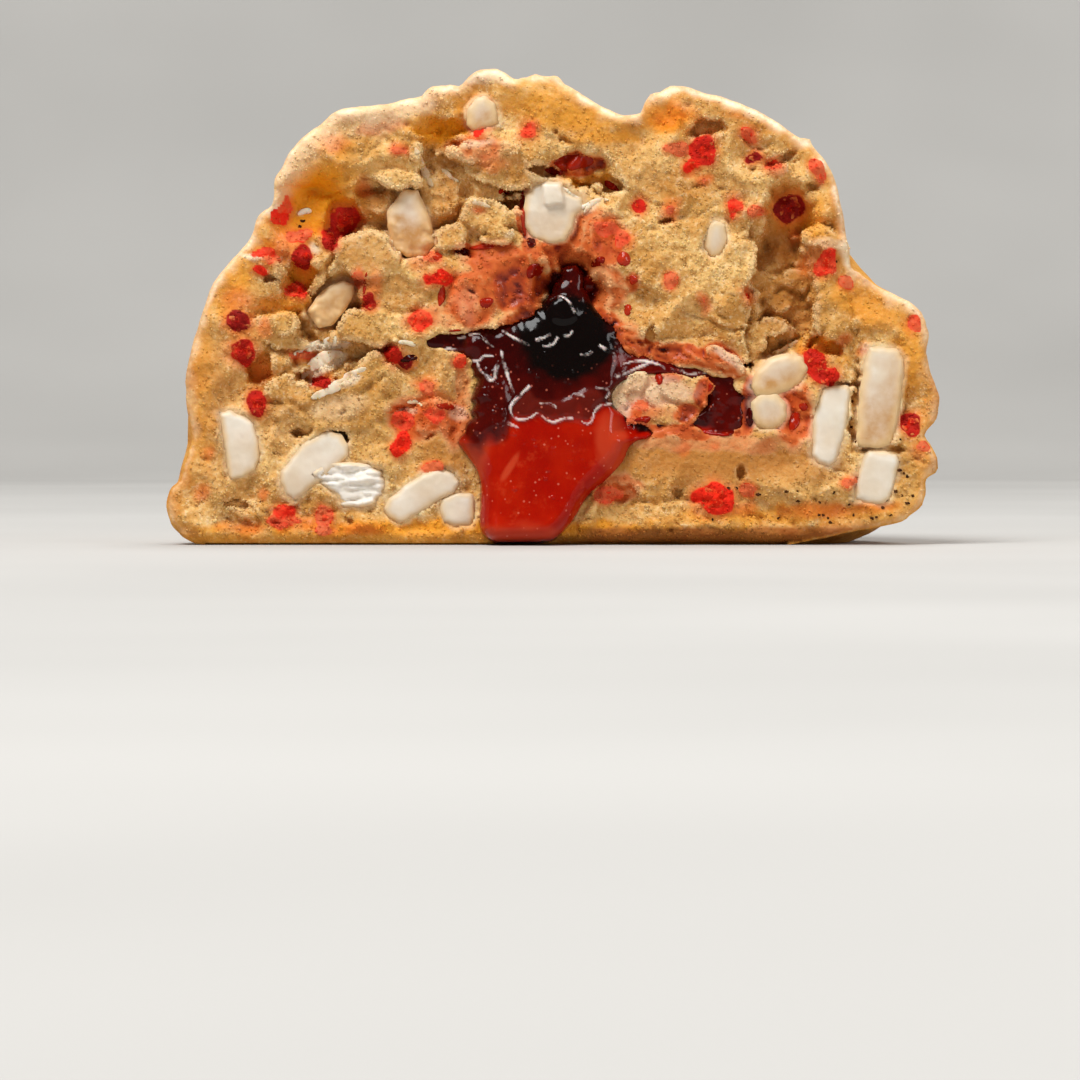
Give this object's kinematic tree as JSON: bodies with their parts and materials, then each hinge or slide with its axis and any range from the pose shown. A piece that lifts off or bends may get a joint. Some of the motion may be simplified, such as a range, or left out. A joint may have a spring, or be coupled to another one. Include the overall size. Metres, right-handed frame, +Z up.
{
  "type": "filled cookie half",
  "caption": "Half of a thick domed cookie, its broken face showing crumb, white chocolate pieces, dried fruit and a jam core that runs down.",
  "frame": {"origin": "middle of the flat base the half cookie stands on", "axes": "+Z up, -Y out of the broken face, +X to the right as the broken face is looked at"},
  "size_m": [0.0723, 0.0395, 0.0444],
  "materials": {
    "baked_dough": "matte crumb, golden crust",
    "white_chocolate": "satin",
    "strawberry_jam": "wet gloss"
  },
  "bodies": {
    "root": {"dough": "baked_dough", "jam": "strawberry_jam", "chocolate_flaky_piece": "white_chocolate", "chocolate_hollow_left": "white_chocolate", "chocolate_jam_lower": "white_chocolate", "chocolate_jam_upper": "white_chocolate", "chocolate_left_baton": "white_chocolate", "chocolate_left_slab": "white_chocolate", "chocolate_low_baton": "white_chocolate", "chocolate_low_block": "white_chocolate", "chocolate_mid_left": "white_chocolate", "chocolate_right_baton": "white_chocolate", "chocolate_right_block": "white_chocolate", "chocolate_right_slab": "white_chocolate", "chocolate_right_sliver": "white_chocolate", "chocolate_top_left": "white_chocolate", "chocolate_top_middle": "white_chocolate"}
  },
  "joints": []
}
